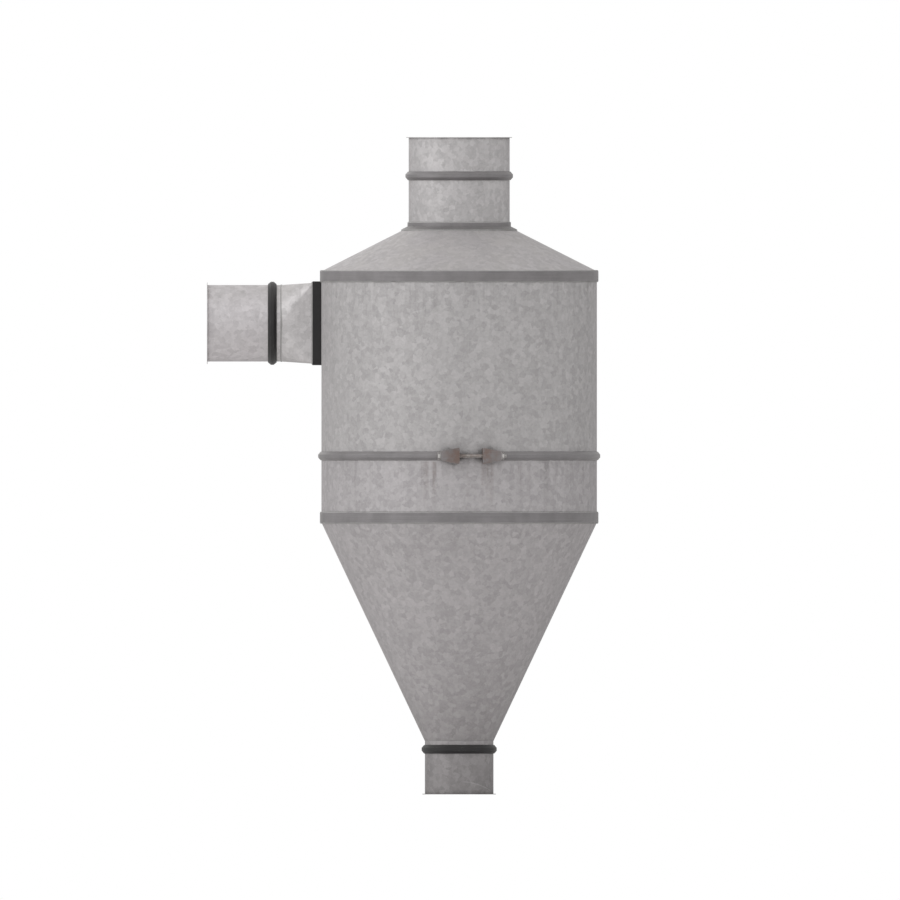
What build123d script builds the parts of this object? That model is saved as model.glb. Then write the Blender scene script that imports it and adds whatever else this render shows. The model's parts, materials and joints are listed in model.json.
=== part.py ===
"""Cyclone separator for dusty air, made of rolled and folded steel sheet.

Air enters the barrel through a tangential duct at the rear, spins round the vortex tube and leaves at
the top. The dust slides down the cone to the spigot at the foot. Tubes that run on in line are joined by
clamp rings, which draw two turned-out lips together over a flat seal. Sheets that change direction are
welded under a hoop.

Frame: millimetres, +Z up along the barrel's axis, origin at the centre of the dust spigot's lower rim,
inlet at -X.
"""

import os
from collections import namedtuple
from math import sqrt

from build123d import *

# Sheet, lips and seals
SHEET = 2.0
LIP_REACH = 8.0
SEAL_THICKNESS = 3.0
SEAL_SETBACK = 1.0

# Body, outside sizes
BARREL_DIAMETER = 900.0
UPPER_BARREL_HEIGHT = 586.0
LOWER_BARREL_HEIGHT = 200.0
ROOF_HEIGHT = 160.0
CONE_HEIGHT = 755.0
CONE_NECK_HEIGHT = 25.0

# Ports, outside diameters and lengths
OUTLET_DIAMETER = 330.0
OUTLET_COLLAR_HEIGHT = 166.0
OUTLET_SPIGOT_LENGTH = 125.0
DUST_DIAMETER = 224.0
DUST_SPIGOT_LENGTH = 146.0
INLET_DIAMETER = 250.0
INLET_SPIGOT_LENGTH = 212.0
VORTEX_DEPTH = 345.0

# Tangential inlet: clear sizes of the duct, and the transition from the duct to the round port
DUCT_WIDTH = 246.0
DUCT_CLEAR_HEIGHT = 260.0
DUCT_BELOW_HOOP = 6.0
DUCT_PAST_BARREL = 13.0
TANGENT_LAP = 45.0
TRANSITION_LENGTH = 118.0
TRANSITION_COLLAR = 28.0
TRANSITION_BEND = 2.0
TRANSITION_FLAT = 4.0

# Hoops over the welded seams, and the angle collar round the outlet tube
HOOP_WIDTH = 32.0
HOOP_THICKNESS = 5.0
COLLAR_LEG = 14.0
COLLAR_FLANGE = 20.0
COLLAR_THICKNESS = 4.0

# Clamp rings, with a large closure on the body and small ones on the ports
RING_SHEET = 2.5
RING_WIDTH = 30.0
RING_TUBE_CLEARANCE = 1.0
RING_LIP_CLEARANCE = 0.3
LUG_WELD_DEPTH = 1.5
LUG_CORNER = 4.0
BODY_LUG_LENGTH = 62.0
BODY_LUG_HEIGHT = 54.0
BODY_LUG_DEPTH = 32.0
BODY_LUG_GAP = 76.0
BODY_BOLT_DIAMETER = 14.0
BODY_CLOSURE_ANGLE = 4.6
PORT_LUG_LENGTH = 26.0
PORT_LUG_HEIGHT = 34.0
PORT_LUG_DEPTH = 22.0
PORT_LUG_GAP = 22.0
PORT_BOLT_DIAMETER = 10.0
PORT_CLOSURE_ANGLE = 180.0
BOLT_CLEARANCE = 0.3
HEXAGON_FLATS_RATIO = 1.6
HEXAGON_HEIGHT_RATIO = 0.65
BOLT_TAIL_RATIO = 0.5

Closure = namedtuple("Closure", "lug_length lug_height lug_depth gap bolt")
BODY_CLOSURE = Closure(BODY_LUG_LENGTH, BODY_LUG_HEIGHT, BODY_LUG_DEPTH, BODY_LUG_GAP, BODY_BOLT_DIAMETER)
PORT_CLOSURE = Closure(PORT_LUG_LENGTH, PORT_LUG_HEIGHT, PORT_LUG_DEPTH, PORT_LUG_GAP, PORT_BOLT_DIAMETER)

# Radii, and levels up the axis
barrel_radius = BARREL_DIAMETER / 2
outlet_radius = OUTLET_DIAMETER / 2
dust_radius = DUST_DIAMETER / 2
inlet_radius = INLET_DIAMETER / 2
skirt_height = HOOP_WIDTH / 2
dust_joint = DUST_SPIGOT_LENGTH
cone_base = dust_joint + SEAL_THICKNESS
lower_barrel_base = cone_base + CONE_HEIGHT
body_joint = lower_barrel_base + LOWER_BARREL_HEIGHT
upper_barrel_base = body_joint + SEAL_THICKNESS
barrel_top = upper_barrel_base + UPPER_BARREL_HEIGHT
roof_top = barrel_top + ROOF_HEIGHT
outlet_joint = roof_top + OUTLET_COLLAR_HEIGHT
outlet_spigot_base = outlet_joint + SEAL_THICKNESS

# The duct's roof lies just under the roof hoop, and its outer wall on the barrel's rear tangent
duct_roof = barrel_top - HOOP_WIDTH / 2 - DUCT_BELOW_HOOP - SHEET
duct_floor = duct_roof - DUCT_CLEAR_HEIGHT
duct_outer = barrel_radius
duct_inner = duct_outer - DUCT_WIDTH
inlet_y = (duct_outer + duct_inner) / 2
inlet_z = (duct_roof + duct_floor) / 2
duct_reach = barrel_radius + DUCT_PAST_BARREL
collar_start = duct_reach + TRANSITION_LENGTH
inlet_joint = collar_start + TRANSITION_COLLAR
inlet_spigot_base = inlet_joint + SEAL_THICKNESS

FRONT = Vector(0, -1, 0)


def upward(height, closure_angle=0):
    """A plane across the barrel's axis, with its x axis towards a closure at an angle from the front."""
    return Plane(origin=(0, 0, height), x_dir=FRONT.rotate(Axis.Z, closure_angle), z_dir=(0, 0, 1))


def out_of_inlet(reach):
    """A plane across the inlet's axis, facing out of it, with its x axis towards a closure at the rear."""
    return Plane(origin=(-reach, inlet_y, inlet_z), x_dir=-FRONT, z_dir=(-1, 0, 0))


def section_of(base):
    """The plane of a round piece's section: x away from the axis, y along it."""
    return Plane(origin=base.origin, x_dir=base.x_dir, z_dir=-base.y_dir)


def rolled(base, path, thickness=SHEET, side=Side.LEFT):
    """Sheet or bar rolled about a plane's normal. The path is one face of its section."""
    with BuildPart() as piece:
        with BuildSketch(section_of(base)):
            with BuildLine():
                Polyline(*path)
                offset(amount=thickness, side=side, kind=Kind.INTERSECTION)
            make_face()
        revolve(axis=Axis(base.origin, base.z_dir))
    return piece.part


def lipped_tube(base, radius, length):
    """A rolled tube with a turned-out lip at either end."""
    lip = radius + LIP_REACH
    top = length - SHEET
    return rolled(base, [(lip, SHEET), (radius, SHEET), (radius, top), (lip, top)])


def flat_ring(base, outer_radius, inner_radius, height):
    with BuildPart() as ring:
        with BuildSketch(base):
            Circle(outer_radius)
            Circle(inner_radius, mode=Mode.SUBTRACT)
        extrude(amount=height)
    return ring.part


def lip_seal(base, radius):
    """The flat seal between two lips, set back from the lips' edge and from the bore."""
    return flat_ring(base, radius + LIP_REACH - SEAL_SETBACK, radius - SHEET + SEAL_SETBACK, SEAL_THICKNESS)


def seam_hoop(height):
    """A flat bar rolled round the barrel and centred on a welded seam."""
    base = upward(height - HOOP_WIDTH / 2)
    return flat_ring(base, barrel_radius + HOOP_THICKNESS, barrel_radius, HOOP_WIDTH)


def lip_crown(radius):
    """The clamp ring's inner radius over the lips' edge."""
    return radius + LIP_REACH + RING_LIP_CLEARANCE


def across_closure(middle, radius, closure):
    """The plane across a closure's bolt, half way up its lugs."""
    lift = lip_crown(radius) + RING_SHEET + closure.lug_depth / 2
    return Plane(middle.origin + middle.x_dir * lift, x_dir=middle.x_dir, z_dir=middle.y_dir)


def clamp_ring(joint, radius, closure):
    """A rolled vee channel over both lips of a joint, split between two tapered lugs for its bolt."""
    middle = joint.offset(SEAL_THICKNESS / 2)
    crown = lip_crown(radius)
    crown_half = SEAL_THICKNESS / 2 + SHEET + RING_LIP_CLEARANCE
    foot = radius + RING_TUBE_CLEARANCE
    foot_half = RING_WIDTH / 2 - RING_SHEET
    weld_radius = crown + RING_SHEET - LUG_WELD_DEPTH
    near = closure.gap / 2
    far = near + closure.lug_length
    lug_back = sqrt(weld_radius**2 - far**2)
    lug_face = Plane(middle.origin, x_dir=middle.y_dir, z_dir=middle.x_dir)
    channel = [(foot, foot_half), (crown, crown_half), (crown, -crown_half), (foot, -foot_half)]
    with BuildPart() as ring:
        with BuildSketch(lug_face.offset(lug_back)) as lug:
            with BuildLine():
                Polyline(
                    (near, -closure.lug_height / 2),
                    (far, -RING_WIDTH / 2),
                    (far, RING_WIDTH / 2),
                    (near, closure.lug_height / 2),
                    close=True,
                )
            make_face()
            fillet(lug.vertices(), LUG_CORNER)
            mirror(about=Plane.YZ)
        extrude(amount=crown + RING_SHEET + closure.lug_depth - lug_back)
        with BuildSketch(middle):
            Circle(weld_radius)
        extrude(amount=closure.lug_height, both=True, mode=Mode.SUBTRACT)
        with BuildSketch(across_closure(middle, radius, closure)):
            Circle(closure.bolt / 2 + BOLT_CLEARANCE)
        extrude(amount=far, both=True, mode=Mode.SUBTRACT)
        add(rolled(middle, channel, RING_SHEET))
        with BuildSketch(middle):
            with Locations((crown, 0)):
                Rectangle(RING_WIDTH, closure.gap)
        extrude(amount=RING_WIDTH, both=True, mode=Mode.SUBTRACT)
    return ring.part


def clamp_bolt(joint, radius, closure):
    """The closure's bolt, with its head on one lug and its nut on the other."""
    middle = across_closure(joint.offset(SEAL_THICKNESS / 2), radius, closure)
    far = closure.gap / 2 + closure.lug_length
    hexagon_radius = closure.bolt * HEXAGON_FLATS_RATIO / 2
    hexagon_height = closure.bolt * HEXAGON_HEIGHT_RATIO
    with BuildPart() as bolt:
        with BuildSketch(middle.offset(-far)):
            Circle(closure.bolt / 2)
        extrude(amount=2 * far + hexagon_height + closure.bolt * BOLT_TAIL_RATIO)
        with BuildSketch(middle.offset(-far - hexagon_height), middle.offset(far)):
            RegularPolygon(hexagon_radius, 6, major_radius=False)
        extrude(amount=hexagon_height)
    return bolt.part


def save(part, name):
    part.label = name
    export_step(part, f"parts/{name}.step")


os.makedirs("parts", exist_ok=True)

# Clean air outlet: the spigot over the vortex tube, which runs on through the roof into the barrel
outlet_clamp = upward(outlet_joint, PORT_CLOSURE_ANGLE)
save(lipped_tube(upward(outlet_spigot_base), outlet_radius, OUTLET_SPIGOT_LENGTH), "outlet_spigot")
save(lip_seal(outlet_clamp, outlet_radius), "outlet_seal")
save(clamp_ring(outlet_clamp, outlet_radius, PORT_CLOSURE), "outlet_clamp_ring")
save(clamp_bolt(outlet_clamp, outlet_radius, PORT_CLOSURE), "outlet_clamp_bolt")

vortex_length = VORTEX_DEPTH + ROOF_HEIGHT + OUTLET_COLLAR_HEIGHT
vortex_path = [
    (outlet_radius, 0),
    (outlet_radius, vortex_length - SHEET),
    (outlet_radius + LIP_REACH, vortex_length - SHEET),
]
save(rolled(upward(barrel_top - VORTEX_DEPTH), vortex_path), "vortex_tube")

# Roof: a shallow cone on a short skirt, with an angle collar where the vortex tube passes through it
roof_fall = (ROOF_HEIGHT - skirt_height) / (barrel_radius - outlet_radius)
roof_path = [(barrel_radius, 0), (barrel_radius, skirt_height), (outlet_radius, ROOF_HEIGHT)]
with BuildPart() as roof_cone:
    add(rolled(upward(barrel_top), roof_path))
    with BuildSketch(upward(barrel_top)):
        Circle(outlet_radius)
    extrude(amount=ROOF_HEIGHT, mode=Mode.SUBTRACT)
save(roof_cone.part, "roof_cone")

collar_path = [
    (outlet_radius + COLLAR_FLANGE, -COLLAR_FLANGE * roof_fall),
    (outlet_radius, 0),
    (outlet_radius, COLLAR_LEG),
]
save(rolled(upward(roof_top), collar_path, COLLAR_THICKNESS, Side.RIGHT), "roof_collar")
save(seam_hoop(barrel_top), "roof_hoop")

# Barrel: the upper course with the tangential opening, clamped to the lower course
body_clamp = upward(body_joint, BODY_CLOSURE_ANGLE)
lip = barrel_radius + LIP_REACH
upper_path = [(lip, SHEET), (barrel_radius, SHEET), (barrel_radius, UPPER_BARREL_HEIGHT)]
with BuildPart() as upper_barrel:
    add(rolled(upward(upper_barrel_base), upper_path))
    with BuildSketch(Plane.XY.offset(duct_floor)):
        with Locations((-TANGENT_LAP, duct_inner)):
            Rectangle(barrel_radius, barrel_radius, align=(Align.MAX, Align.MIN))
    extrude(amount=DUCT_CLEAR_HEIGHT, mode=Mode.SUBTRACT)
save(upper_barrel.part, "upper_barrel")

lower_path = [
    (barrel_radius, 0),
    (barrel_radius, LOWER_BARREL_HEIGHT - SHEET),
    (lip, LOWER_BARREL_HEIGHT - SHEET),
]
save(rolled(upward(lower_barrel_base), lower_path), "lower_barrel")
save(lip_seal(body_clamp, barrel_radius), "body_seal")
save(clamp_ring(body_clamp, barrel_radius, BODY_CLOSURE), "body_clamp_ring")
save(clamp_bolt(body_clamp, barrel_radius, BODY_CLOSURE), "body_clamp_bolt")

# Cone, from its lipped neck up to the skirt under the lower course
cone_path = [
    (dust_radius + LIP_REACH, SHEET),
    (dust_radius, SHEET),
    (dust_radius, CONE_NECK_HEIGHT),
    (barrel_radius, CONE_HEIGHT - skirt_height),
    (barrel_radius, CONE_HEIGHT),
]
save(rolled(upward(cone_base), cone_path), "cone")
save(seam_hoop(lower_barrel_base), "cone_hoop")

# Dust outlet
dust_clamp = upward(dust_joint, PORT_CLOSURE_ANGLE)
save(lipped_tube(upward(0), dust_radius, DUST_SPIGOT_LENGTH), "dust_spigot")
save(lip_seal(dust_clamp, dust_radius), "dust_seal")
save(clamp_ring(dust_clamp, dust_radius, PORT_CLOSURE), "dust_clamp_ring")
save(clamp_bolt(dust_clamp, dust_radius, PORT_CLOSURE), "dust_clamp_bolt")

# Tangential inlet duct: roof and floor plates cut to the barrel's curve, between an outer and an inner wall
for name, level in (("inlet_top_plate", duct_roof), ("inlet_bottom_plate", duct_floor - SHEET)):
    with BuildPart() as plate:
        with BuildSketch(Plane.XY.offset(level)):
            with Locations((-TANGENT_LAP, duct_outer)):
                Rectangle(duct_reach - TANGENT_LAP, DUCT_WIDTH + SHEET, align=(Align.MAX, Align.MAX))
            Circle(barrel_radius, mode=Mode.SUBTRACT)
        extrude(amount=SHEET)
    save(plate.part, name)

with BuildPart() as inlet_inner_plate:
    with BuildSketch(Plane.XY.offset(duct_floor)):
        with Locations((0, duct_inner)):
            Rectangle(duct_reach, SHEET, align=(Align.MAX, Align.MAX))
        Circle(barrel_radius, mode=Mode.SUBTRACT)
    extrude(amount=DUCT_CLEAR_HEIGHT)
save(inlet_inner_plate.part, "inlet_inner_plate")

with BuildPart() as inlet_outer_plate:
    with BuildSketch(Plane.XY.offset(duct_floor - SHEET)):
        with Locations((0, duct_outer)):
            Rectangle(duct_reach, SHEET, align=(Align.MAX, Align.MIN))
    extrude(amount=DUCT_CLEAR_HEIGHT + 2 * SHEET)
save(inlet_outer_plate.part, "inlet_outer_plate")

# Transition from the duct to the round port: a short skirt, then four flats that narrow towards the
# collar, with a cone at each corner
transition_collar = [
    (inlet_radius, 0),
    (inlet_radius, TRANSITION_COLLAR - SHEET),
    (inlet_radius + LIP_REACH, TRANSITION_COLLAR - SHEET),
]
with BuildPart() as inlet_transition:
    for wall, mode in ((SHEET, Mode.ADD), (0, Mode.SUBTRACT)):
        round_end = INLET_DIAMETER - 2 * SHEET + 2 * wall
        with BuildSketch(out_of_inlet(duct_reach)) as duct_end:
            RectangleRounded(DUCT_WIDTH + 2 * wall, DUCT_CLEAR_HEIGHT + 2 * wall, TRANSITION_BEND + wall)
        extrude(amount=skirt_height, mode=mode)
        with BuildSketch(out_of_inlet(duct_reach + skirt_height)):
            add(duct_end.sketch_local)
        with BuildSketch(out_of_inlet(collar_start)):
            RectangleRounded(round_end, round_end, (round_end - TRANSITION_FLAT) / 2)
        loft(mode=mode)
    add(rolled(out_of_inlet(collar_start), transition_collar))
save(inlet_transition.part, "inlet_transition")

with BuildPart() as inlet_hoop:
    with BuildSketch(out_of_inlet(duct_reach - HOOP_WIDTH / 2)):
        for bar, mode in ((HOOP_THICKNESS, Mode.ADD), (0, Mode.SUBTRACT)):
            side = 2 * SHEET + 2 * bar
            Rectangle(DUCT_WIDTH + side, DUCT_CLEAR_HEIGHT + side, mode=mode)
    extrude(amount=HOOP_WIDTH)
save(inlet_hoop.part, "inlet_hoop")

# Inlet port
inlet_clamp = out_of_inlet(inlet_joint)
save(lipped_tube(out_of_inlet(inlet_spigot_base), inlet_radius, INLET_SPIGOT_LENGTH), "inlet_spigot")
save(lip_seal(inlet_clamp, inlet_radius), "inlet_seal")
save(clamp_ring(inlet_clamp, inlet_radius, PORT_CLOSURE), "inlet_clamp_ring")
save(clamp_bolt(inlet_clamp, inlet_radius, PORT_CLOSURE), "inlet_clamp_bolt")
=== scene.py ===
"""Looks of the cyclone separator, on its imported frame.

Galvanised sheet, hoops, clamp rings, weld beads and bolts, in metres and in the frame of the solids:
+Z up along the barrel's axis, the inlet at -X, the viewer at -Y.
"""

import json
import random
from collections import namedtuple
from functools import reduce
from math import asin, cos, pi, radians, sin, sqrt, tan

import bmesh
import bpy
from mathutils import Matrix, Vector


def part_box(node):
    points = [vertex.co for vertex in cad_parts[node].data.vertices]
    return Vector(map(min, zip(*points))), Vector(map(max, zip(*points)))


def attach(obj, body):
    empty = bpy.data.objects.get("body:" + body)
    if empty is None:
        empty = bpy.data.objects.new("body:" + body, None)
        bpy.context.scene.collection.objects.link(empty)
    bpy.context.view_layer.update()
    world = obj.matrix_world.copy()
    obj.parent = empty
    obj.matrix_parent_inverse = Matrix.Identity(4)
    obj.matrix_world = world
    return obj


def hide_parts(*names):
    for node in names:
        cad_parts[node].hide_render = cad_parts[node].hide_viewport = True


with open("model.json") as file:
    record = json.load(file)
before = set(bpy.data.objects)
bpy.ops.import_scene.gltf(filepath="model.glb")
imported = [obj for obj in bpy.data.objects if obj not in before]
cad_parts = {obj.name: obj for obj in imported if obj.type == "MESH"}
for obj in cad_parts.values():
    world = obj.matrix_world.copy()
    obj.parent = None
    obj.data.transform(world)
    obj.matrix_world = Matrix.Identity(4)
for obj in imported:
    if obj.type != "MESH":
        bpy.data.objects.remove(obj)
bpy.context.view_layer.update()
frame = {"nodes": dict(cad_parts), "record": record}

# View of the photograph: square from the side, without perspective
VIEW_CENTRE = (-0.03, 1.125)
VIEW_HEIGHT = 2.94
VIEW_DISTANCE = 8.0

# Light: the sky is brighter on the inlet's side and overhead
SKY_LEVEL = 0.88
SKY_TILT = (-0.42, 0.0, 0.12)
LAMP_AIM = (0, 0, 1.2)
FLOOR_HALF = 40.0

# Sizes that the solids have
SHEET = 0.002
HOOP_THICKNESS = 0.005
RING_SHEET = 0.0025
RING_WIDTH = 0.030
CONE_NECK = 0.025
LIP_REACH = 0.008
RING_LIP_CLEARANCE = 0.0003
SEAL_SETBACK = 0.001
LUG_WELD_DEPTH = 0.0015
LUG_FOOT = 0.0068
INLET_COLLAR = 0.028
Closure = namedtuple("Closure", "lug_length lug_depth gap bolt pitch")
BODY_CLOSURE = Closure(lug_length=0.062, lug_depth=0.032, gap=0.076, bolt=0.014, pitch=0.002)
PORT_CLOSURE = Closure(lug_length=0.026, lug_depth=0.022, gap=0.022, bolt=0.010, pitch=0.0015)
BODY_CLOSURE_ANGLE = radians(4.6)

# Bolts, as shares of the bolt's diameter
HEXAGON_ACROSS_FLATS = 1.6
HEXAGON_HEIGHT = 0.65
BOLT_TAIL = 0.5
WASHER_THICKNESS = 0.14
# A washer's radius, as a share of the hexagon's width, and its round edge, as a share of its thickness
WASHER_RADIUS = 0.62
WASHER_EDGE = 0.25
# A hexagon's chamfer: the flat face inside it and its least depth, as shares of half the hexagon's width
CHAMFER_FACE = 0.94
CHAMFER_EDGE = 0.03
CHAMFER_ANGLE = radians(30)
# Thread: its depth and the first of its taper, as shares of the pitch, and how much the bolt's end tapers
THREAD_DEPTH = 0.55
THREAD_LEAD = 0.35
THREAD_TAPER = 0.18
# Edges of a bolt that turn by more than this are sharp
SHARP_ANGLE = radians(35)

# Weld beads: the ripples that the torch leaves, and how the ends thin out
BEAD_STEP = 0.0011
BEAD_SIDES = 8
RIPPLE_STEPS = 3
RIPPLE_DEPTH = 0.38
RIPPLE_LAG = 0.0016
RIPPLE_SWELL = (0.9, 1.06)
END_SIZE = 0.4
END_RIPPLES = 3

# Sizes of the beads, by the joint that they close
Bead = namedtuple("Bead", "width height")
HOOP_BEAD = Bead(0.006, 0.0032)
COLLAR_BEAD = Bead(0.007, 0.0036)
DUCT_BEAD = Bead(0.007, 0.0032)
TANGENT_BEAD = Bead(0.007, 0.0026)
CORNER_BEAD = Bead(0.005, 0.0016)
DUCT_HOOP_BEAD = Bead(0.006, 0.003)
INLET_COLLAR_BEAD = Bead(0.006, 0.0016)
SEAM_BEAD = Bead(0.007, 0.0022)
LUG_BEAD = Bead(0.005, 0.003)

# How far the middle of a bead lies from the edge, the wall or the corner that it closes
EDGE_SEAT = 0.0006
WALL_SEAT = 0.0012
TUBE_SEAT = 0.001
CORNER_SEAT = 0.0008
CORNER_LAP = 0.0004
# Which way a bead bulges: its tilt along the axis that it goes round, or the way out of its corner
COLLAR_TILT = 1.2
LUG_TILT = 6.0
TANGENT_OUT = (0.5, 0.87, 0)
# Where a bead starts: clear of the barrel, short of the duct's corner, and under a clamp ring's edge
DUCT_RUN_IN = 0.012
DUCT_TURN = 0.003
SEAM_UNDER_RING = 0.005

UP = Vector((0, 0, 1))
FRONT = Vector((0, -1, 0))
REAR = Vector((0, 1, 0))
OUT_OF_INLET = Vector((-1, 0, 0))


def foot(node):
    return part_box(node)[0].z


def top(node):
    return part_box(node)[1].z


# Levels and radii, read from the solids
barrel_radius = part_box("roof_hoop")[1].x - HOOP_THICKNESS
outlet_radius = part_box("vortex_tube")[1].x - LIP_REACH
dust_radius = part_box("dust_spigot")[1].x - LIP_REACH
inlet_low, inlet_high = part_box("inlet_spigot")
inlet_axis = (inlet_low + inlet_high) / 2
inlet_radius = (inlet_high.z - inlet_low.z) / 2 - LIP_REACH
object_top = top("outlet_spigot")
roof_top = top("roof_cone")
roof_fall = (roof_top - top("roof_hoop")) / (barrel_radius - outlet_radius)
collar_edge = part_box("roof_collar")[1].x
collar_foot = roof_top - (collar_edge - outlet_radius) * roof_fall
body_joint = top("lower_barrel")
outlet_joint = top("vortex_tube")
body_front = Vector((sin(BODY_CLOSURE_ANGLE), -cos(BODY_CLOSURE_ANGLE), 0))
closure_spot = body_front * (barrel_radius + BODY_CLOSURE.lug_depth / 2) + UP * body_joint
duct_low, duct_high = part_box("inlet_outer_plate")
duct_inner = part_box("inlet_inner_plate")[0].y
hoop_low, hoop_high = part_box("inlet_hoop")


class Board:
    """Places and wires the nodes of one material or effect."""

    def __init__(self, tree):
        self.tree = tree

    def feed(self, socket, value):
        if isinstance(value, bpy.types.NodeSocket):
            self.tree.links.new(value, socket)
        else:
            socket.default_value = value

    def node(self, kind, inputs=None, **settings):
        node = self.tree.nodes.new(kind)
        for name, value in settings.items():
            setattr(node, name, value)
        for name, value in (inputs or {}).items():
            self.feed(node.inputs[name], value)
        return node

    def effect(self, group, **inputs):
        """Places a shared effect and returns its outputs. An underscore in a name stands for a space."""
        node = self.node("ShaderNodeGroup", node_tree=group)
        for name, value in inputs.items():
            self.feed(node.inputs[name.replace("_", " ")], value)
        return node.outputs

    def math(self, operation, a, b=0.0, clamp=False):
        return self.node("ShaderNodeMath", {0: a, 1: b}, operation=operation, use_clamp=clamp).outputs[0]

    def chain(self, operation, values):
        """One operation from the first value to the last."""
        return reduce(lambda a, b: self.math(operation, a, b), values)

    def times(self, *values):
        return self.chain("MULTIPLY", values)

    def total(self, *values):
        return self.chain("ADD", values)

    def most(self, *values):
        return self.chain("MAXIMUM", values)

    def shares(self, *terms):
        """The sum of values, each times its share."""
        return self.total(*[self.times(value, share) for value, share in terms])

    def vector(self, operation, a, b=(0, 0, 0), output=0):
        return self.node("ShaderNodeVectorMath", {0: a, 1: b}, operation=operation).outputs[output]

    def scaled(self, vector, factor):
        return self.node("ShaderNodeVectorMath", {0: vector, 3: factor}, operation="SCALE").outputs[0]

    def dot(self, a, b):
        return self.vector("DOT_PRODUCT", a, b, output=1)

    def axes(self, vector):
        return self.node("ShaderNodeSeparateXYZ", {0: vector}).outputs

    def ease(self, value, start, end, low=0.0, high=1.0):
        """A smooth step from low at start to high at end."""
        inputs = {"Value": value, "From Min": start, "From Max": end, "To Min": low, "To Max": high}
        return self.node("ShaderNodeMapRange", inputs, interpolation_type="SMOOTHSTEP").outputs[0]

    def noise(self, vector, scale, detail=2.0, roughness=0.5, output="Fac"):
        inputs = {"Vector": vector, "Scale": scale, "Detail": detail, "Roughness": roughness}
        return self.node("ShaderNodeTexNoise", inputs).outputs[output]

    def cells(self, vector, scale, feature="F1"):
        inputs = {"Vector": vector, "Scale": scale}
        return self.node("ShaderNodeTexVoronoi", inputs, feature=feature).outputs

    def blend(self, factor, a, b):
        return self.node("ShaderNodeMix", {0: factor, 6: a, 7: b}, data_type="RGBA").outputs[2]

    def cover(self, colour, coat, mask, strength):
        """A colour under a coat of another, as strong as the mask and the coat's strength."""
        return self.blend(self.times(mask, strength), colour, coat)

    def place(self):
        """Where the point is on the object."""
        return self.node("ShaderNodeTexCoord").outputs["Object"]

    def facing(self):
        """Which way the surface faces."""
        return self.node("ShaderNodeNewGeometry").outputs["Normal"]

    def bump(self, height, strength, distance):
        inputs = {"Height": height, "Strength": strength, "Distance": distance}
        return self.node("ShaderNodeBump", inputs).outputs[0]


def grey(level, warmth=0.012, rose=0.0):
    """A nearly neutral colour: warmth takes it from blue towards red, and rose away from green."""
    return (level * (1 + warmth + rose), level * (1 - 2 * rose), level * (1 - warmth + rose), 1.0)


def new_effect(name, inputs, outputs):
    """An empty shared effect with its named sockets: its board, what goes in and what comes out."""
    tree = bpy.data.node_groups.new(name, "ShaderNodeTree")
    for label, value in inputs.items():
        kind = "NodeSocketVector" if isinstance(value, tuple) else "NodeSocketFloat"
        tree.interface.new_socket(label, in_out="INPUT", socket_type=kind).default_value = value
    for label in outputs:
        tree.interface.new_socket(label, in_out="OUTPUT", socket_type="NodeSocketFloat")
    board = Board(tree)
    return board, board.node("NodeGroupInput").outputs, board.node("NodeGroupOutput").inputs


def zinc_spangle():
    """Crystals of the zinc coat: the shade and the slight relief of each, and the seams between them."""
    board, given, result = new_effect("zinc_spangle", {"Size": 70.0}, ["Shade", "Relief", "Seam"])
    place = board.place()
    sway = board.noise(place, 120.0, detail=3.0, output="Color")
    warped = board.vector("ADD", place, board.scaled(sway, 0.012))
    large = board.cells(warped, given["Size"])
    small = board.cells(warped, board.times(given["Size"], 2.6))
    rim = board.cells(warped, given["Size"], feature="DISTANCE_TO_EDGE")
    large_shade = board.axes(large["Color"])[0]
    small_shade = board.axes(small["Color"])[1]
    shade = board.shares((large_shade, 0.65), (small_shade, 0.35))
    board.feed(result["Shade"], shade)
    board.feed(result["Relief"], board.total(shade, large["Distance"]))
    board.feed(result["Seam"], board.ease(rim["Distance"], 0.0, 0.09, low=1.0, high=0.0))
    return board.tree


def roll_marks():
    """Faint bands that the rolls leave along the sheet."""
    board, given, result = new_effect("roll_marks", {"Along": (1.0, 1.0, 0.02)}, ["Mark"])
    stretched = board.vector("MULTIPLY", board.place(), given["Along"])
    coarse = board.noise(stretched, 11.0, detail=3.0)
    fine = board.noise(stretched, 70.0)
    mark = board.shares((coarse, 0.7), (fine, 0.3))
    board.feed(result["Mark"], board.ease(mark, 0.3, 0.7))
    return board.tree


def settled_dust():
    """Dust that lies where the surface faces up."""
    board, given, result = new_effect("settled_dust", {"Amount": 0.5}, ["Mask"])
    level = board.ease(board.axes(board.facing())[2], 0.25, 0.95)
    drifts = board.noise(board.place(), 9.0, detail=5.0, roughness=0.6)
    patches = board.ease(drifts, 0.3, 0.7, low=0.35)
    board.feed(result["Mask"], board.times(level, patches, given["Amount"]))
    return board.tree


def wash_marks():
    """Streaks that water has drawn down the sheet from a seam."""
    board, given, result = new_effect("wash_marks", {"Level": 1.0, "Length": 0.25}, ["Mask"])
    place = board.place()
    below = board.math("SUBTRACT", given["Level"], board.axes(place)[2])
    started = board.ease(below, 0.0, 0.004)
    faded = board.ease(board.math("DIVIDE", below, given["Length"]), 0.0, 1.0, low=1.0, high=0.0)
    stretched = board.vector("MULTIPLY", place, (1.0, 1.0, 0.04))
    streaks = board.ease(board.noise(stretched, 34.0, detail=3.0, roughness=0.6), 0.48, 0.72)
    board.feed(result["Mask"], board.times(started, faded, streaks))
    return board.tree


def corner_shade_and_grime():
    """Painted shade and dirt in corners and against edges, where a cloth doesn't reach and less light falls.
    """
    board, given, result = new_effect("corner_shade_and_grime", {"Reach": 0.03}, ["Mask"])
    shelter = board.node("ShaderNodeAmbientOcclusion", {"Distance": given["Reach"]}, samples=6)
    patches = board.noise(board.place(), 38.0, detail=4.0, roughness=0.6)
    depth = board.math("SUBTRACT", 1.0, shelter.outputs["AO"])
    board.feed(result["Mask"], board.ease(board.times(depth, patches), 0.12, 0.42))
    return board.tree


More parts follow.
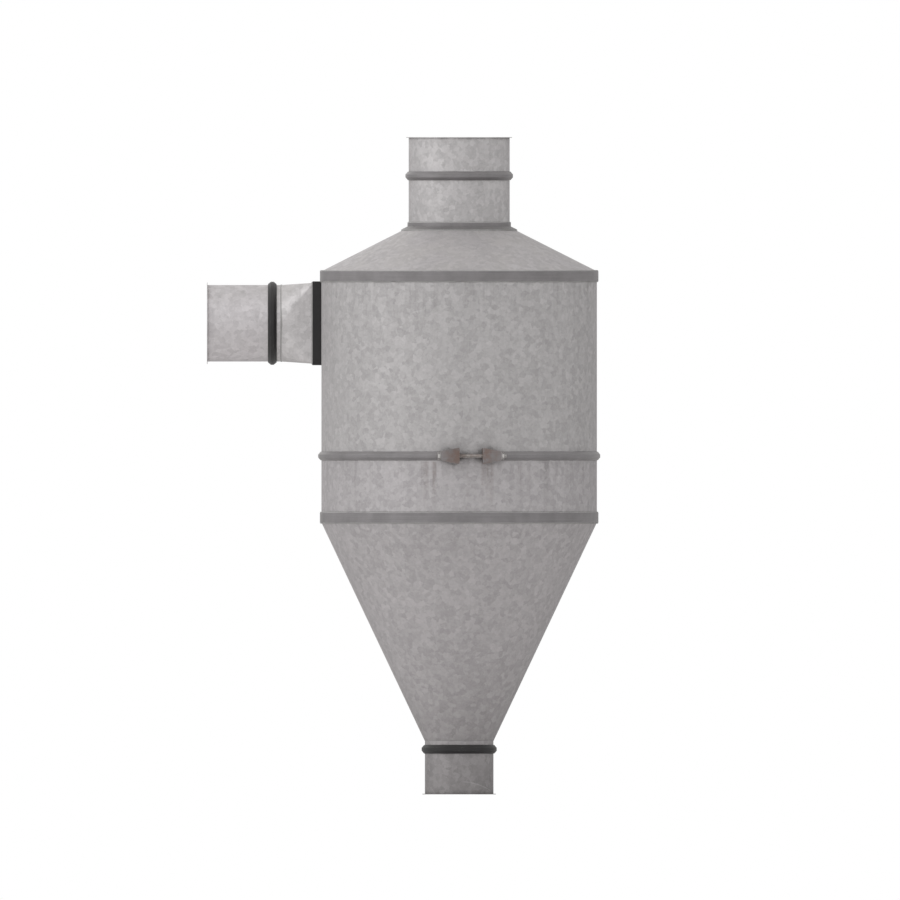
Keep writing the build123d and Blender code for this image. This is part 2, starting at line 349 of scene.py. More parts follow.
def worn_edge():
    """Bare metal along edges that get knocked."""
    board, given, result = new_effect("worn_edge", {"Width": 0.002}, ["Mask"])
    rounded = board.node("ShaderNodeBevel", {"Radius": given["Width"]}, samples=6).outputs[0]
    turn = board.math("SUBTRACT", 1.0, board.dot(rounded, board.facing()))
    patches = board.ease(board.noise(board.place(), 85.0, detail=4.0, roughness=0.65), 0.4, 0.62)
    board.feed(result["Mask"], board.times(board.ease(turn, 0.01, 0.1), patches))
    return board.tree


def bore_dust_and_shade():
    """Dust film and painted shade on surfaces that face a tube's axis."""
    sockets = {"Axis Point": (0.0, 0.0, 0.0), "Axis Direction": (0.0, 0.0, 1.0)}
    board, given, result = new_effect("bore_dust_and_shade", sockets, ["Mask"])
    place = board.place()
    offset = board.vector("SUBTRACT", place, given["Axis Point"])
    along = board.scaled(given["Axis Direction"], board.dot(offset, given["Axis Direction"]))
    outward = board.vector("NORMALIZE", board.vector("SUBTRACT", offset, along))
    inward = board.times(board.dot(outward, board.facing()), -1.0)
    film = board.noise(place, 14.0, detail=5.0, roughness=0.6)
    patches = board.ease(film, 0.25, 0.75, low=0.6)
    board.feed(result["Mask"], board.times(board.ease(inward, 0.2, 0.5), patches))
    return board.tree


def scuffs():
    """Thin scratches from handling, down the sheet and across it."""
    board, given, result = new_effect("scuffs", {"Spacing": 2.0}, ["Mask"])
    place = board.place()
    lines = []
    for stretch in ((1.0, 1.0, 0.12), (0.3, 0.3, 1.0)):
        field = board.noise(board.vector("MULTIPLY", place, stretch), given["Spacing"], detail=1.0)
        off = board.math("ABSOLUTE", board.math("SUBTRACT", field, 0.5))
        lines.append(board.ease(off, 0.0, 0.0035, low=1.0, high=0.0))
    broken = board.ease(board.noise(place, 7.0, detail=3.0), 0.52, 0.66)
    board.feed(result["Mask"], board.times(board.most(*lines), broken))
    return board.tree


def zinc_spray():
    """Matt zinc paint over the burnt coat along a straight weld."""
    sockets = {"Seam Point": (0.0, 0.0, 0.0), "Seam Direction": (0.0, 0.0, 1.0), "Width": 0.03}
    board, given, result = new_effect("zinc_spray", sockets, ["Mask"])
    place = board.place()
    offset = board.vector("SUBTRACT", place, given["Seam Point"])
    away = board.vector("LENGTH", board.vector("CROSS_PRODUCT", offset, given["Seam Direction"]), output=1)
    fuzz = board.times(board.noise(place, 60.0, detail=4.0, roughness=0.65), 0.016)
    edge = board.math("DIVIDE", board.total(away, fuzz), given["Width"])
    board.feed(result["Mask"], board.ease(edge, 0.45, 1.0, low=1.0, high=0.0))
    return board.tree


def rust_bloom():
    """Rust round a spot where the zinc has broken, thinning out with distance from it."""
    board, given, result = new_effect("rust_bloom", {"Spot": (0.0, 0.0, 0.0), "Reach": 0.1}, ["Mask"])
    place = board.place()
    away = board.math("DIVIDE", board.vector("DISTANCE", place, given["Spot"], output=1), given["Reach"])
    patches = board.ease(board.noise(place, 48.0, detail=5.0, roughness=0.65), 0.3, 0.62)
    board.feed(result["Mask"], board.times(board.ease(away, 0.35, 1.0, low=1.0, high=0.0), patches))
    return board.tree


SPANGLE = zinc_spangle()
ROLL_MARKS = roll_marks()
DUST = settled_dust()
WASH_MARKS = wash_marks()
CORNER_SHADE_AND_GRIME = corner_shade_and_grime()
WORN_EDGE = worn_edge()
BORE_DUST_AND_SHADE = bore_dust_and_shade()
SCUFFS = scuffs()
ZINC_SPRAY = zinc_spray()
RUST_BLOOM = rust_bloom()

# Tints of the metals, and colours that they share
PALE_ROSE = 0.006
ROSE = 0.010
DUST_COLOUR = grey(0.44, warmth=0.05)
# The colour of painted shade and grime: in corners, and towards the foot of the sheets
SHADE_AND_GRIME_COLOUR = grey(0.085, warmth=0.08)
# The colour of dust and painted shade inside tubes
BORE_DUST_AND_SHADE_COLOUR = grey(0.15, warmth=0.10)
BARE_ZINC = grey(0.52)
SPRAY_COLOUR = grey(0.37)
RUST_COLOUR = (0.155, 0.078, 0.046, 1.0)
STRAW_TINT = (0.24, 0.19, 0.14, 1.0)
BLUE_TINT = (0.17, 0.19, 0.24, 1.0)

# How far rust spreads from its spot, and how brush marks stretch round a band
RUST_REACH = 0.13
BAND_BRUSH = (4.0, 4.0, 900.0)


def blank_material(name):
    """A material with one shader: the material, its board and the shader."""
    material = bpy.data.materials.new(name)
    material.use_nodes = True
    return material, Board(material.node_tree), material.node_tree.nodes["Principled BSDF"]


def closure_rust(board, strength, reach=RUST_REACH):
    """Rust round the closure of the body's clamp ring."""
    return board.times(board.effect(RUST_BLOOM, Spot=closure_spot, Reach=reach)["Mask"], strength)


def galvanised_sheet(name, shades, rose, drips, along, axis_point, axis_direction, seam=None):
    """Zinc-coated sheet: spangled and satin, dusty on top, dusty and in painted shade inside, with painted
    shade and grime in its corners, and darker towards the foot in painted shade.

    Drips are the levels that rain has washed dirt down from, and the seam is the weld along a rolled sheet.
    """
    material, board, shader = blank_material(name)
    place = board.place()
    spangle = board.effect(SPANGLE, Size=58.0)
    marks = board.effect(ROLL_MARKS, Along=along)["Mark"]
    clouds = board.noise(place, 3.2, detail=4.0, roughness=0.55)
    shade = board.shares((spangle["Shade"], 0.62), (marks, 0.14), (clouds, 0.24), (spangle["Seam"], -0.1))
    colour = board.blend(shade, grey(shades[0], rose=rose), grey(shades[1], rose=rose))

    spray = 0.0
    if seam:
        run = (seam.end - seam.start).normalized()
        mask = board.effect(ZINC_SPRAY, Seam_Point=seam.start, Seam_Direction=run, Width=0.034)["Mask"]
        spray = board.times(mask, 0.85)
        colour = board.blend(spray, colour, SPRAY_COLOUR)

    # Painted shade: darker towards the foot, steadily down from the top and more in the lowest half metre
    height = board.axes(place)[2]
    lowest_shade = board.ease(height, 0.5, 0.0, high=0.22)
    painted_foot_shade = board.total(lowest_shade, board.times(board.math("SUBTRACT", object_top, height), 0.08))
    colour = board.blend(painted_foot_shade, colour, SHADE_AND_GRIME_COLOUR)
    colour = board.cover(colour, BARE_ZINC, board.effect(SCUFFS, Spacing=2.2)["Mask"], 0.3)

    # Painted shade and grime in enclosed places, joined with the dirt of the wash streaks
    shade_and_grime = board.effect(CORNER_SHADE_AND_GRIME, Reach=0.035)["Mask"]
    if drips:
        stain = board.total(*[board.effect(WASH_MARKS, Level=level, Length=0.22)["Mask"] for level in drips])
        shade_and_grime = board.most(shade_and_grime, board.times(stain, 0.22))
        colour = board.cover(colour, RUST_COLOUR, stain, closure_rust(board, 0.3, 2 * RUST_REACH))
    dust = board.effect(DUST, Amount=0.4)["Mask"]
    # Dust film and painted shade inside the tube
    inner_dust_and_shade = board.effect(BORE_DUST_AND_SHADE, Axis_Point=axis_point, Axis_Direction=axis_direction)["Mask"]
    colour = board.cover(colour, SHADE_AND_GRIME_COLOUR, shade_and_grime, 0.75)
    colour = board.blend(dust, colour, DUST_COLOUR)
    colour = board.cover(colour, BORE_DUST_AND_SHADE_COLOUR, inner_dust_and_shade, 0.85)

    dirt = board.most(dust, shade_and_grime, inner_dust_and_shade, spray)
    satin = board.ease(spangle["Shade"], 0.0, 1.0, low=0.62, high=0.44)
    roughness = board.math("ADD", satin, board.times(dirt, 0.3), clamp=True)
    relief = board.total(board.times(spangle["Relief"], 0.25), clouds)
    board.feed(shader.inputs["Base Color"], colour)
    board.feed(shader.inputs["Metallic"], board.ease(dirt, 0.0, 1.0, low=0.5, high=0.05))
    board.feed(shader.inputs["Roughness"], roughness)
    board.feed(shader.inputs["Normal"], board.bump(relief, strength=0.12, distance=0.004))
    shader.inputs["Specular Tint"].default_value = grey(0.2)
    shader.inputs["Specular IOR Level"].default_value = 0.25
    return material


def band_steel(name, level, metallic, roughness, edge):
    """Rolled bar or clamp channel: brushed round its length, with painted shade and grime in its corners,
    rubbed along its edges.
    """
    material, board, shader = blank_material(name)
    place = board.place()
    brushed = board.noise(board.vector("MULTIPLY", place, BAND_BRUSH), 1.0, detail=3.0, roughness=0.6)
    patches = board.noise(place, 13.0, detail=5.0, roughness=0.6)
    shade = board.shares((brushed, 0.5), (patches, 0.5))
    dark = grey(level * 0.82, rose=ROSE)
    pale = grey(level * 1.2, rose=ROSE)
    finish = board.blend(board.ease(shade, 0.3, 0.7), dark, pale)

    # Painted shade and grime in its corners
    shade_and_grime = board.effect(CORNER_SHADE_AND_GRIME, Reach=0.02)["Mask"]
    wear = board.effect(WORN_EDGE, Width=0.0018)["Mask"]
    dust = board.effect(DUST, Amount=0.35)["Mask"]
    rust = closure_rust(board, 0.6)
    finish = board.cover(finish, SHADE_AND_GRIME_COLOUR, shade_and_grime, 0.7)
    finish = board.cover(finish, BARE_ZINC, wear, edge)
    finish = board.blend(dust, finish, grey(level * 1.35, warmth=0.05))
    finish = board.blend(rust, finish, RUST_COLOUR)

    dirt = board.most(dust, shade_and_grime, rust)
    grain = board.ease(brushed, 0.2, 0.8, low=roughness - 0.07, high=roughness + 0.07)
    dulled = board.math("ADD", grain, board.times(dirt, 0.25), clamp=True)
    board.feed(shader.inputs["Base Color"], finish)
    board.feed(shader.inputs["Metallic"], board.ease(dirt, 0.0, 1.0, low=metallic, high=metallic * 0.2))
    board.feed(shader.inputs["Roughness"], dulled)
    board.feed(shader.inputs["Normal"], board.bump(shade, strength=0.2, distance=0.001))
    shader.inputs["Specular Tint"].default_value = grey(0.6)
    return material


def dark_coat(name):
    """Black coat over steel, with a fine orange peel and chips along its edges."""
    material, board, shader = blank_material(name)
    place = board.place()
    peel = board.noise(place, 420.0)
    patches = board.noise(place, 20.0, detail=4.0, roughness=0.6)
    finish = board.blend(patches, grey(0.016, rose=ROSE), grey(0.036, rose=ROSE))

    wear = board.effect(WORN_EDGE, Width=0.0012)["Mask"]
    chips = board.times(wear, board.ease(patches, 0.5, 0.6))
    dust = board.effect(DUST, Amount=0.2)["Mask"]
    finish = board.cover(finish, grey(0.3), chips, 0.8)
    finish = board.blend(dust, finish, grey(0.12, warmth=0.06))

    sheen = board.ease(board.total(patches, dust), 0.3, 1.0, low=0.48, high=0.7)
    board.feed(shader.inputs["Base Color"], finish)
    board.feed(shader.inputs["Metallic"], board.times(chips, 0.6))
    board.feed(shader.inputs["Roughness"], sheen)
    board.feed(shader.inputs["Normal"], board.bump(peel, strength=0.25, distance=0.0006))
    shader.inputs["Specular IOR Level"].default_value = 0.25
    return material


def bright_bolt(name):
    """Zinc-plated fastener, with painted shade and grime down in the thread."""
    material, board, shader = blank_material(name)
    bloom = board.noise(board.place(), 120.0, detail=4.0, roughness=0.6)
    finish = board.blend(bloom, grey(0.42), grey(0.62, warmth=0.03))

    # Painted shade and grime down in the thread
    shade_and_grime = board.effect(CORNER_SHADE_AND_GRIME, Reach=0.006)["Mask"]
    wear = board.effect(WORN_EDGE, Width=0.0008)["Mask"]
    rust = closure_rust(board, 0.5)
    finish = board.cover(finish, SHADE_AND_GRIME_COLOUR, shade_and_grime, 0.8)
    finish = board.cover(finish, grey(0.75), wear, 0.6)
    finish = board.blend(rust, finish, RUST_COLOUR)

    board.feed(shader.inputs["Base Color"], finish)
    board.feed(shader.inputs["Metallic"], board.ease(board.most(shade_and_grime, rust), 0.0, 1.0, low=0.9, high=0.2))
    board.feed(shader.inputs["Roughness"], board.ease(bloom, 0.2, 0.8, low=0.26, high=0.42))
    board.feed(shader.inputs["Normal"], board.bump(bloom, strength=0.1, distance=0.0005))
    return material


def black_rubber(name):
    """Matt seal rubber, greyed by dust where it faces up."""
    material, board, shader = blank_material(name)
    place = board.place()
    bloom = board.noise(place, 60.0, detail=4.0, roughness=0.6)
    dust = board.effect(DUST, Amount=0.4)["Mask"]
    finish = board.blend(bloom, grey(0.02), grey(0.04))
    board.feed(shader.inputs["Base Color"], board.blend(dust, finish, grey(0.18, warmth=0.06)))
    board.feed(shader.inputs["Roughness"], board.ease(bloom, 0.2, 0.8, low=0.62, high=0.8))
    board.feed(shader.inputs["Normal"], board.bump(board.noise(place, 700.0), strength=0.2, distance=0.0004))
    shader.inputs["Specular IOR Level"].default_value = 0.3
    return material


def weld_metal(name):
    """Weld beads under zinc paint, straw and blue where the heat has coloured them."""
    material, board, shader = blank_material(name)
    place = board.place()
    patches = board.noise(place, 46.0, detail=4.0, roughness=0.6)
    heat = board.ease(board.noise(place, 17.0, detail=3.0), 0.52, 0.7)
    tint = board.blend(board.noise(place, 90.0), STRAW_TINT, BLUE_TINT)
    finish = board.blend(patches, grey(0.26), grey(0.46))
    finish = board.cover(finish, tint, heat, 0.45)

    # Painted shade and grime in the hollows of the bead and against the sheet
    shade_and_grime = board.effect(CORNER_SHADE_AND_GRIME, Reach=0.004)["Mask"]
    dust = board.effect(DUST, Amount=0.35)["Mask"]
    rust = closure_rust(board, 0.8)
    finish = board.cover(finish, SHADE_AND_GRIME_COLOUR, shade_and_grime, 0.8)
    finish = board.blend(dust, finish, DUST_COLOUR)
    finish = board.blend(rust, finish, RUST_COLOUR)

    board.feed(shader.inputs["Base Color"], finish)
    board.feed(shader.inputs["Metallic"], board.ease(board.most(dust, rust), 0.0, 1.0, low=0.6, high=0.1))
    board.feed(shader.inputs["Roughness"], board.ease(patches, 0.25, 0.75, low=0.3, high=0.5))
    board.feed(shader.inputs["Normal"], board.bump(board.noise(place, 900.0), strength=0.15, distance=0.0004))
    return material


def pale_floor(name):
    material, board, shader = blank_material(name)
    patches = board.noise(board.place(), 2.0)
    board.feed(shader.inputs["Base Color"], board.blend(patches, grey(0.78), grey(0.80)))
    shader.inputs["Roughness"].default_value = 0.9
    shader.inputs["Specular IOR Level"].default_value = 0.1
    return material


# Welded seams along the rolled sheets, all at the rear. At a clamp ring they run on under it.
Seam = namedtuple("Seam", "start end outward")
under_ring = RING_WIDTH / 2 - SEAM_UNDER_RING


def rear_point(angle, radius, level):
    """A point at an angle from the rear, seen from above."""
    return Vector((radius * sin(angle), radius * cos(angle), level))


def long_seam(degrees, low_radius, low, high_radius, high):
    """The seam of a sheet rolled about the barrel's axis, at an angle from the rear."""
    angle = radians(degrees)
    start = rear_point(angle, low_radius, low)
    end = rear_point(angle, high_radius, high)
    return Seam(start, end, rear_point(angle, 1, 0))


def tube_seam(degrees, radius, low, high):
    """The seam of a straight tube."""
    return long_seam(degrees, radius, low, radius, high)


def inlet_seam(degrees, near, far):
    """The seam of a sheet rolled about the inlet's axis, at an angle down from the rear."""
    outward = Vector((0, cos(radians(degrees)), -sin(radians(degrees))))
    side = Vector((0, inlet_axis.y, inlet_axis.z)) + outward * inlet_radius
    return Seam(side - OUT_OF_INLET * near, side - OUT_OF_INLET * far, outward)


LONG_SEAMS = {
    "upper_barrel": tube_seam(50, barrel_radius, body_joint + under_ring, foot("roof_hoop")),
    "lower_barrel": tube_seam(-18, barrel_radius, top("cone_hoop"), body_joint - under_ring),
    "cone": long_seam(28, dust_radius, foot("cone") + CONE_NECK, barrel_radius, foot("cone_hoop")),
    "roof_cone": long_seam(38, barrel_radius, top("roof_hoop"), collar_edge, collar_foot),
    "outlet_spigot": tube_seam(30, outlet_radius, outlet_joint + under_ring, top("outlet_spigot") - SHEET),
    "vortex_tube": tube_seam(-24, outlet_radius, top("roof_collar"), outlet_joint - under_ring),
    "dust_spigot": tube_seam(-30, dust_radius, SHEET, top("dust_spigot") - under_ring),
    "inlet_spigot": inlet_seam(29, inlet_low.x + SHEET, inlet_high.x - under_ring),
}

# Finishes of the sheets: the darkest and palest shade of each, its tint, and the levels that drip on it
UPRIGHT = {"along": (1.0, 1.0, 0.02), "axis_point": (0, 0, 0), "axis_direction": (0, 0, 1)}
LYING = {"along": (0.02, 1.0, 1.0), "axis_point": tuple(inlet_axis), "axis_direction": (1, 0, 0)}
DRIPS = [foot("roof_hoop"), foot("body_seal") - RING_WIDTH / 2, foot("cone_hoop")]
Tone = namedtuple("Tone", "shades rose drips")
# The shades hold painted light: the inlet's sheets paler as on the brighter side, the outlet, roof and cone
# paler, the lower barrel a little darker and the dust spigot darker at the foot
BODY_TONE = Tone((0.355, 0.53), PALE_ROSE, DRIPS)
INLET_TONE_PAINTED_LIGHT = Tone((0.49, 0.68), PALE_ROSE, DRIPS[:1])
OUTLET_TONE_PAINTED_LIGHT = Tone((0.383, 0.566), PALE_ROSE, [])
SHEET_TONES_PAINTED_LIGHT = {
    "outlet_spigot": OUTLET_TONE_PAINTED_LIGHT,
    "vortex_tube": OUTLET_TONE_PAINTED_LIGHT,
    "roof_cone": Tone((0.372, 0.556), ROSE, DRIPS),
    "lower_barrel": Tone((0.352, 0.525), ROSE, DRIPS),
    "cone": Tone((0.37, 0.55), ROSE, DRIPS),
    "dust_spigot": Tone((0.31, 0.463), ROSE, []),
    "inlet_spigot": Tone((0.49, 0.68), ROSE, DRIPS[:1]),
}


def sheet_of(node):
    """The finish of one sheet: the air's ports are paler than the body, as painted light."""
    lying = node.startswith("inlet")
    tone = SHEET_TONES_PAINTED_LIGHT.get(node, INLET_TONE_PAINTED_LIGHT if lying else BODY_TONE)
    layout = LYING if lying else UPRIGHT
    return galvanised_sheet(f"galvanised_{node}", **tone._asdict(), **layout, seam=LONG_SEAMS.get(node))


bolt_zinc = bright_bolt("bolt_zinc")
weld = weld_metal("weld_metal")
SLOT_FINISH = {
    "hoop_steel": band_steel("hoop_steel", level=0.212, metallic=0.45, roughness=0.55, edge=0.35),
    "clamp_zinc": band_steel("clamp_zinc", level=0.21, metallic=0.55, roughness=0.42, edge=0.5),
    "dark_coat": dark_coat("dark_coat"),
    "bolt_zinc": bolt_zinc,
    "seal_rubber": black_rubber("seal_rubber"),
}
for subpart in frame["record"]["subparts"]:
    node = subpart["node"]
    skin = frame["nodes"][node].data
    skin.materials.clear()
    skin.materials.append(SLOT_FINISH.get(subpart["material_slot"]) or sheet_of(node))


def new_piece(name, mesh, finish):
    """Puts a finished mesh on the object."""
    data = bpy.data.meshes.new(name)
    bmesh.ops.recalc_face_normals(mesh, faces=mesh.faces)
    mesh.to_mesh(data)
    mesh.free()
    data.materials.append(finish)
    data.shade_smooth()
    piece = bpy.data.objects.new(name, data)
    bpy.context.scene.collection.objects.link(piece)
    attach(piece, "root")
    return piece


def add_skin(mesh, rings, closed=False):
    """Joins rings of points into one skin, with its ends joined to each other or capped."""
    skins = [[mesh.verts.new(point) for point in ring] for ring in rings]
    pairs = list(zip(skins, skins[1:]))
    if closed:
        pairs.append((skins[-1], skins[0]))
    for low, high in pairs:
        for k in range(len(low)):
            n = (k + 1) % len(low)
            mesh.faces.new((low[k], low[n], high[n], high[k]))
    if not closed:
        mesh.faces.new(skins[0])
        mesh.faces.new(skins[-1])


def weld_bead(name, path, outward, bead, closed=False):
    """A bead laid along a path, with the ripples that the torch leaves."""
    hand = random.Random(name)
    rings = []
    swell = 1.0
    last = len(path) - 1
    for i, point in enumerate(path):
        ahead = path[(i + 1) % len(path)] if closed or i < last else point
        behind = path[i - 1] if closed or i else point
        along = (ahead - behind).normalized()
        lift = (outward[i] - along * outward[i].dot(along)).normalized()
        side = along.cross(lift)
        if i % RIPPLE_STEPS == 0:
            swell = hand.uniform(*RIPPLE_SWELL)
        ripple = swell * (1 - RIPPLE_DEPTH * (i % RIPPLE_STEPS) / (RIPPLE_STEPS - 1))
        from_end = min(i, last - i) / (END_RIPPLES * RIPPLE_STEPS)
        taper = 1.0 if closed else min(1.0, END_SIZE + from_end)
        ring = []
        for k in range(BEAD_SIDES):
            angle = 2 * pi * k / BEAD_SIDES
            rise = lift * cos(angle) * bead.height * ripple * taper
            spread = side * sin(angle) * bead.width / 2 * swell * taper
            ring.append(point + rise + spread + along * cos(angle) * RIPPLE_LAG)
        rings.append(ring)
    mesh = bmesh.new()
    add_skin(mesh, rings, closed)
    return new_piece(name, mesh, weld)


def stepped(start, end):
    """Points from one end of a straight seam to the other."""
    count = max(2, round((end - start).length / BEAD_STEP))
    return [start.lerp(end, i / (count - 1)) for i in range(count)]


def straight_bead(name, start, end, outward, bead):
    path = stepped(Vector(start), Vector(end))
    return weld_bead(name, path, [Vector(outward)] * len(path), bead)


def turned(centre, axis, reference, radius, start, end, tilt):
    """Points round an axis, and the way out at each, tilted along the axis."""
    across = axis.cross(reference)
    sweep = end - start
    count = round(abs(sweep) * radius / BEAD_STEP / RIPPLE_STEPS) * RIPPLE_STEPS
    path, outward = [], []
    for i in range(count):
        angle = start + sweep * i / count
        away = reference * cos(angle) + across * sin(angle)
        path.append(centre + away * radius)
        outward.append((away + axis * tilt).normalized())
    return path, outward


def round_bead(name, level, radius, tilt, bead):
    path, outward = turned(UP * level, UP, REAR, radius, 0, 2 * pi, tilt)
    return weld_bead(name, path, outward, bead, closed=True)


# Fillet welds along both edges of the hoops and of the roof collar
for hoop in ("roof_hoop", "cone_hoop"):
    round_bead(f"{hoop}_upper_weld", top(hoop) + EDGE_SEAT, barrel_radius + WALL_SEAT, 1.0, HOOP_BEAD)
    round_bead(f"{hoop}_lower_weld", foot(hoop) - EDGE_SEAT, barrel_radius + WALL_SEAT, -1.0, HOOP_BEAD)
collar_rim = collar_edge - CORNER_LAP
round_bead("roof_collar_outer_weld", collar_foot + CORNER_SEAT, collar_rim, COLLAR_TILT, COLLAR_BEAD)
collar_top = top("roof_collar") + CORNER_LAP
round_bead("roof_collar_tube_weld", collar_top, outlet_radius + TUBE_SEAT, 1.0, HOOP_BEAD)

# Inlet duct: its plates to the barrel and its corners
inner_corner = -sqrt(barrel_radius**2 - duct_inner**2)
inner_angle = Vector((0, 1)).angle(Vector((inner_corner, duct_inner)))
DUCT_EDGES = (
    ("outer", 0.0, duct_high.y - EDGE_SEAT, 1),
    ("inner", inner_corner, duct_inner + EDGE_SEAT, -1),
)
for plate, level, rise in (("top", duct_high.z, 1.0), ("bottom", duct_low.z, -1.0)):
    path, outward = turned(UP * level, UP, REAR, barrel_radius + WALL_SEAT, 0, inner_angle, rise)
    weld_bead(f"inlet_{plate}_weld", path, outward, DUCT_BEAD)
    for edge, start, side, out in DUCT_EDGES:
        near = (start - DUCT_RUN_IN, side, level - rise * EDGE_SEAT)
        far = (hoop_high.x, side, level - rise * EDGE_SEAT)
        straight_bead(f"inlet_{plate}_{edge}_weld", near, far, (0, out, rise), CORNER_BEAD)


def upright_bead(name, x, y, outward, bead):
    """A weld up the joint between the duct and the barrel."""
    return straight_bead(name, (x, y, duct_low.z), (x, y, duct_high.z), outward, bead)


inner_out = Vector((inner_corner, duct_inner, 0)).normalized() + FRONT
upright_bead("inlet_inner_weld", inner_corner - CORNER_SEAT, duct_inner - CORNER_LAP, inner_out, DUCT_BEAD)
upright_bead("inlet_outer_weld", WALL_SEAT, barrel_radius + EDGE_SEAT, TANGENT_OUT, TANGENT_BEAD)


def duct_hoop_bead(name, x, tilt):
    """A fillet weld round the duct, along one edge of its hoop."""
    middle = Vector((x, (duct_inner + duct_high.y) / 2, (duct_low.z + duct_high.z) / 2))
    across = (duct_high.y - duct_inner) / 2 + EDGE_SEAT
    upright = (duct_high.z - duct_low.z) / 2 + EDGE_SEAT
    corners = [Vector((0, y * across, z * upright)) for y, z in ((-1, -1), (1, -1), (1, 1), (-1, 1))]
    path, outward = [], []
    for start, end in zip(corners, corners[1:] + corners[:1]):
        run = (end - start).normalized()
        side = stepped(middle + start + run * DUCT_TURN, middle + end - run * DUCT_TURN)
        path += side
        outward += [Vector((tilt, run.z, -run.y))] * len(side)
    return weld_bead(name, path, outward, DUCT_HOOP_BEAD, closed=True)


# Both edges of the hoop over the duct's joint, and the seam between the transition and its collar
duct_hoop_bead("inlet_hoop_duct_weld", hoop_high.x + EDGE_SEAT, 1.0)
duct_hoop_bead("inlet_hoop_port_weld", hoop_low.x - EDGE_SEAT, -1.0)
collar_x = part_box("inlet_transition")[0].x + INLET_COLLAR
collar_centre = Vector((collar_x, inlet_axis.y, inlet_axis.z))
path, outward = turned(collar_centre, OUT_OF_INLET, REAR, inlet_radius, 0, 2 * pi, 0.0)
weld_bead("inlet_collar_weld", path, outward, INLET_COLLAR_BEAD, closed=True)

for node, seam in LONG_SEAMS.items():
    straight_bead(f"{node}_seam", seam.start, seam.end, seam.outward, SEAM_BEAD)


# Clamp bolts, with chamfered hexagons, washers and a cut thread
def hexagon_rings(flats, low, high, samples=48):
    """A chamfered hexagon, from its washer face to its crown."""
    apothem = flats / 2
    face = apothem * CHAMFER_FACE
    rings = [[], [], [], []]
    for k in range(samples):
        angle = 2 * pi * k / samples
        reach = apothem / cos((angle + pi / 6) % (pi / 3) - pi / 6)
        cut = (reach - apothem) * tan(CHAMFER_ANGLE) + apothem * CHAMFER_EDGE
        direction = Vector((cos(angle), sin(angle), 0))
        profile = [(face, low), (reach, low + cut), (reach, high - cut), (face, high)]
        for ring, (radius, level) in zip(rings, profile):
            ring.append(direction * radius + UP * level)
    return rings


def washer_rings(radius, low, high, samples=40):
    soft = (high - low) * WASHER_EDGE
    profile = [(radius - soft, low), (radius, low + soft), (radius, high - soft), (radius - soft, high)]
    turns = [2 * pi * k / samples for k in range(samples)]
    return [[Vector((r * cos(a), r * sin(a), z)) for a in turns] for r, z in profile]


def thread_rings(radius, pitch, low, high, samples=24, steps=6):
    """A threaded shank, thinner at its end."""
    depth = pitch * THREAD_DEPTH
    count = round((high - low) / pitch * steps)
    rings = []
    for i in range(count + 1):
        level = low + (high - low) * i / count
        lead = min(1.0, (high - level) / pitch + THREAD_LEAD)
        taper = 1 - THREAD_TAPER * (1 - lead)
        ring = []
        for k in range(samples):
            angle = 2 * pi * k / samples
            phase = (level / pitch - k / samples) % 1.0
            r = (radius - depth * abs(2 * phase - 1)) * taper
            ring.append(Vector((r * cos(angle), r * sin(angle), level)))
        rings.append(ring)
    return rings


def ring_middle(port):
    """The middle of a clamp ring, and the radius of the crown that its lugs stand on."""
    low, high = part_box(f"{port}_seal")
    lip_radius = max(high - low) / 2 + SEAL_SETBACK
    return (low + high) / 2, lip_radius + RING_LIP_CLEARANCE + RING_SHEET


def clamp_bolt(port, normal, towards, closure):
    """The bolt of one clamp ring, across the gap between its lugs."""
    middle, crown = ring_middle(port)
    centre = middle + towards * (crown + closure.lug_depth / 2)
    axis = normal.cross(towards)
    far = closure.gap / 2 + closure.lug_length
    flats = closure.bolt * HEXAGON_ACROSS_FLATS
    height = closure.bolt * HEXAGON_HEIGHT
    washer = closure.bolt * WASHER_THICKNESS
    tail = far + height + closure.bolt * BOLT_TAIL
    mesh = bmesh.new()
    add_skin(mesh, thread_rings(closure.bolt / 2, closure.pitch, -far - washer, tail))
    add_skin(mesh, washer_rings(flats * WASHER_RADIUS, -far - washer, -far))
    add_skin(mesh, washer_rings(flats * WASHER_RADIUS, far, far + washer))
    add_skin(mesh, hexagon_rings(flats, -far - height, -far - washer))
    add_skin(mesh, hexagon_rings(flats, far + washer, far + height))
    turn = Matrix((towards, axis.cross(towards), axis)).transposed().to_4x4()
    mesh.transform(Matrix.Translation(centre) @ turn)
    piece = new_piece(f"{port}_bolt", mesh, bolt_zinc)
    piece.data.set_sharp_from_angle(angle=SHARP_ANGLE)
    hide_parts(f"{port}_clamp_bolt")
    return piece


def lug_welds(port, normal, towards, closure):
    """Fillet welds along both sides of each lug's foot, where it stands on the crown of the ring."""
    middle, crown = ring_middle(port)
    radius = crown - LUG_WELD_DEPTH
    near = asin(closure.gap / 2 / radius)
    far = asin((closure.gap / 2 + closure.lug_length) / radius)
    for side, start, end in (("head", -far, -near), ("nut", near, far)):
        for edge, rise in (("upper", 1), ("lower", -1)):
            centre = middle + normal * rise * LUG_FOOT
            path, outward = turned(centre, normal, towards, radius, start, end, rise * LUG_TILT)
            weld_bead(f"{port}_{side}_lug_{edge}_weld", path, outward, LUG_BEAD)


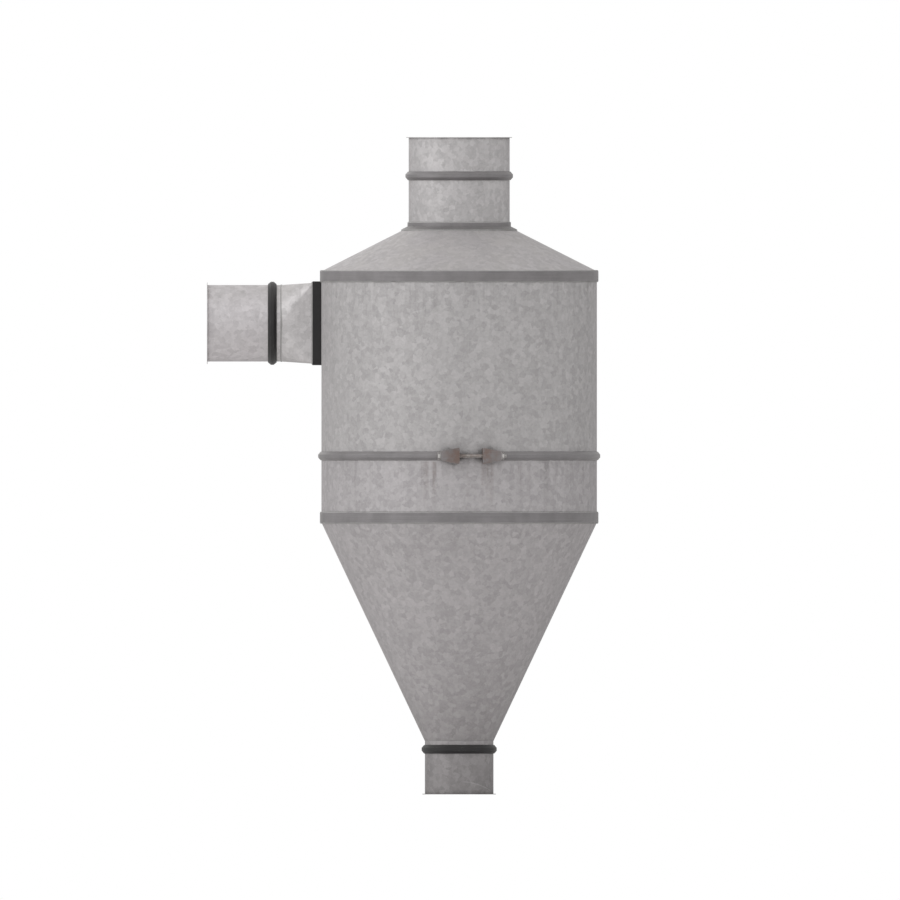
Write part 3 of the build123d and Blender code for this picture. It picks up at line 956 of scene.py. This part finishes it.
CLOSURES = {
    "outlet": (UP, REAR, PORT_CLOSURE),
    "body": (UP, body_front, BODY_CLOSURE),
    "dust": (UP, REAR, PORT_CLOSURE),
    "inlet": (OUT_OF_INLET, REAR, PORT_CLOSURE),
}
for port, closure in CLOSURES.items():
    clamp_bolt(port, *closure)
    lug_welds(port, *closure)

# Floor, light and camera
floor_mesh = bmesh.new()
bmesh.ops.create_grid(floor_mesh, x_segments=8, y_segments=8, size=FLOOR_HALF)
floor_data = bpy.data.meshes.new("floor")
floor_mesh.to_mesh(floor_data)
floor_mesh.free()
floor_data.materials.append(pale_floor("pale_floor"))
floor = bpy.data.objects.new("floor", floor_data)
bpy.context.scene.collection.objects.link(floor)


def soft_lamp(name, place, size, power):
    """A square lamp turned to the middle of the object."""
    lamp = bpy.data.lights.new(name, "AREA")
    lamp.size = size
    lamp.energy = power
    holder = bpy.data.objects.new(name, lamp)
    holder.location = place
    holder.rotation_euler = (Vector(LAMP_AIM) - Vector(place)).to_track_quat("-Z", "Y").to_euler()
    bpy.context.scene.collection.objects.link(holder)
    return holder


soft_lamp("key", (-4.6, -3.0, 3.6), size=4.5, power=50.0)
soft_lamp("back", (-1.0, 4.8, 3.6), size=3.5, power=35.0)

world = bpy.data.worlds.new("studio")
world.use_nodes = True
bpy.context.scene.world = world
sky = Board(world.node_tree)
ray = sky.node("ShaderNodeLightPath").outputs
shown = sky.most(ray["Is Camera Ray"], ray["Is Glossy Ray"], ray["Is Transmission Ray"])
direction = sky.node("ShaderNodeTexCoord").outputs["Generated"]
light = sky.total(SKY_LEVEL, sky.dot(direction, SKY_TILT))
backdrop = world.node_tree.nodes["Background"]
backdrop.inputs["Color"].default_value = (1, 1, 1, 1)
sky.feed(backdrop.inputs["Strength"], sky.node("ShaderNodeMix", {0: shown, 2: light, 3: 1.0}).outputs[0])

camera = bpy.data.objects.new("camera", bpy.data.cameras.new("camera"))
camera.data.type = "ORTHO"
camera.data.ortho_scale = VIEW_HEIGHT
camera.data.clip_end = 100.0
camera.location = (VIEW_CENTRE[0], -VIEW_DISTANCE, VIEW_CENTRE[1])
camera.rotation_euler = (pi / 2, 0, 0)
bpy.context.scene.collection.objects.link(camera)
bpy.context.scene.camera = camera
bpy.context.scene.view_settings.view_transform = "Standard"
